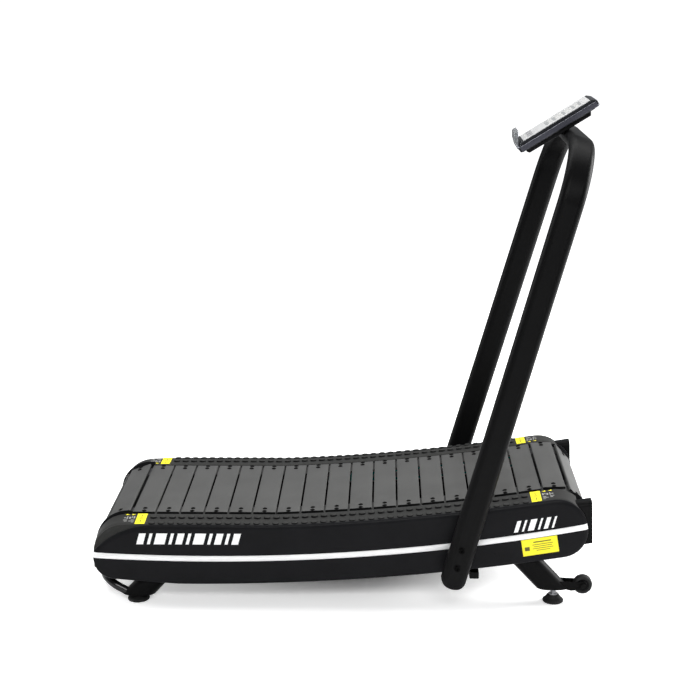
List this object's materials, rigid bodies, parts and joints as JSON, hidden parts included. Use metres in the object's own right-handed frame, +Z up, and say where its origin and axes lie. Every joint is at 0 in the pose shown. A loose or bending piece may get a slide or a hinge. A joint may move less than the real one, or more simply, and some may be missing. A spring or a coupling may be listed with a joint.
{
  "type": "curved manual treadmill",
  "caption": "Curved manual treadmill: a slat belt on drums and support bearings in a low covered frame, with a tall hoop handrail and a small console.",
  "frame": {"origin": "on the floor, under the centre of the machine's box", "axes": "+X towards the front, where the handrail and console are; +Y to the left; +Z up"},
  "size_m": [1.4754, 0.7916, 1.4606],
  "materials": {
    "frame_paint": "satin",
    "cover_black": "matte",
    "rail_grey": "matte",
    "stripe_white": "satin",
    "marker_yellow": "satin",
    "slat_grey": "matte",
    "carrier_rubber": "matte",
    "bright_steel": "satin",
    "black_oxide": "satin",
    "cast_grey": "satin",
    "seal_teal": "satin",
    "cap_plastic": "matte",
    "wheel_rubber": "matte",
    "console_dark": "satin",
    "console_silver": "satin",
    "screen_glass": "gloss",
    "ledge_clear": "gloss",
    "button_grey": "matte",
    "handle_gloss": "gloss"
  },
  "bodies": {
    "base": {"side_frame_left": "frame_paint", "side_frame_right": "frame_paint", "cross_members": "frame_paint", "side_cover_left": "cover_black", "side_cover_right": "cover_black", "rail_cover_left": "rail_grey", "rail_cover_right": "rail_grey", "cover_stripes": "stripe_white", "edge_markers": "marker_yellow", "blank_label": "marker_yellow", "cover_brackets": "frame_paint", "cover_screws": "black_oxide", "front_box_left": "frame_paint", "front_box_right": "frame_paint", "handrail": "frame_paint", "post_spacers": "frame_paint", "post_bolts": "black_oxide", "post_caps": "cap_plastic", "lift_handle": "handle_gloss", "front_bearings": "cast_grey", "rear_bearings": "cast_grey", "bearing_bolts": "bright_steel", "tension_bolts": "bright_steel", "roller_rings": "bright_steel", "roller_seals": "seal_teal", "roller_studs": "bright_steel", "wheel_brackets": "frame_paint", "wheel_axles": "black_oxide", "foot_nuts": "bright_steel", "console_bracket": "frame_paint", "console_back": "cap_plastic", "console_housing": "console_dark", "console_face": "console_silver", "console_screen": "screen_glass", "console_ledge": "ledge_clear", "speed_sensor": "cap_plastic"},
    "front_drum": {"front_shaft": "bright_steel", "front_pulleys": "cast_grey", "front_wrap_slats": "slat_grey", "front_wrap_carriers": "carrier_rubber"},
    "rear_drum": {"rear_shaft": "bright_steel", "rear_pulleys": "cast_grey", "rear_wrap_slats": "slat_grey", "rear_wrap_carriers": "carrier_rubber"},
    "curved_run": {"curved_run_slats": "slat_grey", "curved_run_carriers": "carrier_rubber"},
    "flat_run": {"flat_run_slats": "slat_grey", "flat_run_carriers": "carrier_rubber"},
    "lower_run": {"lower_run_slats": "slat_grey", "lower_run_carriers": "carrier_rubber"},
    "wheel_left": {"wheel_left": "wheel_rubber"},
    "wheel_right": {"wheel_right": "wheel_rubber"},
    "foot_front_left": {"foot_front_left": "wheel_rubber"},
    "foot_front_right": {"foot_front_right": "wheel_rubber"},
    "foot_rear_left": {"foot_rear_left": "wheel_rubber"},
    "foot_rear_right": {"foot_rear_right": "wheel_rubber"},
    "button_1": {"button_1": "button_grey"},
    "button_2": {"button_2": "button_grey"},
    "button_3": {"button_3": "button_grey"}
  },
  "joints": [
    {"name": "front_drum_turn", "type": "hinge", "parent": "base", "child": "front_drum", "pos_m": [0.625, 0, 0.2513], "axis": [0, 1, 0], "range_deg": [-25.4, 25.4]},
    {"name": "rear_drum_turn", "type": "hinge", "parent": "base", "child": "rear_drum", "pos_m": [-0.641, 0, 0.1683], "axis": [0, 1, 0], "range_deg": [-25.4, 25.4]},
    {"name": "curved_run_travel", "type": "hinge", "parent": "base", "child": "curved_run", "pos_m": [-0.43931, 0, 6.6872], "axis": [0, 1, 0], "range_deg": [-0.3208, 0.3208]},
    {"name": "flat_run_travel", "type": "slide", "parent": "base", "child": "flat_run", "axis": [1, 0, 0], "range_m": [-0.0361, 0.0361]},
    {"name": "lower_run_travel", "type": "hinge", "parent": "base", "child": "lower_run", "pos_m": [-0.44578, 0, 6.88732], "axis": [0, 1, 0], "range_deg": [-0.30378, 0.30378]},
    {"name": "wheel_left_spin", "type": "hinge", "parent": "base", "child": "wheel_left", "pos_m": [0.708, 0.262, 0.055], "axis": [0, 1, 0], "continuous": true},
    {"name": "wheel_right_spin", "type": "hinge", "parent": "base", "child": "wheel_right", "pos_m": [0.708, -0.262, 0.055], "axis": [0, 1, 0], "continuous": true},
    {"name": "foot_front_left_turn", "type": "hinge", "parent": "base", "child": "foot_front_left", "pos_m": [0.622, 0.262, 0], "axis": [0, 0, 1], "continuous": true},
    {"name": "foot_front_right_turn", "type": "hinge", "parent": "base", "child": "foot_front_right", "pos_m": [0.622, -0.262, 0], "axis": [0, 0, 1], "continuous": true},
    {"name": "foot_rear_left_turn", "type": "hinge", "parent": "base", "child": "foot_rear_left", "pos_m": [-0.614, 0.262, 0], "axis": [0, 0, 1], "continuous": true},
    {"name": "foot_rear_right_turn", "type": "hinge", "parent": "base", "child": "foot_rear_right", "pos_m": [-0.614, -0.262, 0], "axis": [0, 0, 1], "continuous": true},
    {"name": "button_1_press", "type": "slide", "parent": "base", "child": "button_1", "axis": [0.524, 0, -0.8517], "range_m": [0, 0.0008], "stiffness_N_per_m": 500},
    {"name": "button_2_press", "type": "slide", "parent": "base", "child": "button_2", "axis": [0.524, 0, -0.8517], "range_m": [0, 0.0008], "stiffness_N_per_m": 500},
    {"name": "button_3_press", "type": "slide", "parent": "base", "child": "button_3", "axis": [0.524, 0, -0.8517], "range_m": [0, 0.0008], "stiffness_N_per_m": 500}
  ],
  "couplings": [
    {"joint": "rear_drum_turn", "follows": "front_drum_turn", "ratio": 1},
    {"joint": "curved_run_travel", "follows": "front_drum_turn", "ratio": -0.012605},
    {"joint": "flat_run_travel", "follows": "front_drum_turn", "m_per_rad": 0.0812},
    {"joint": "lower_run_travel", "follows": "front_drum_turn", "ratio": 0.011936}
  ]
}
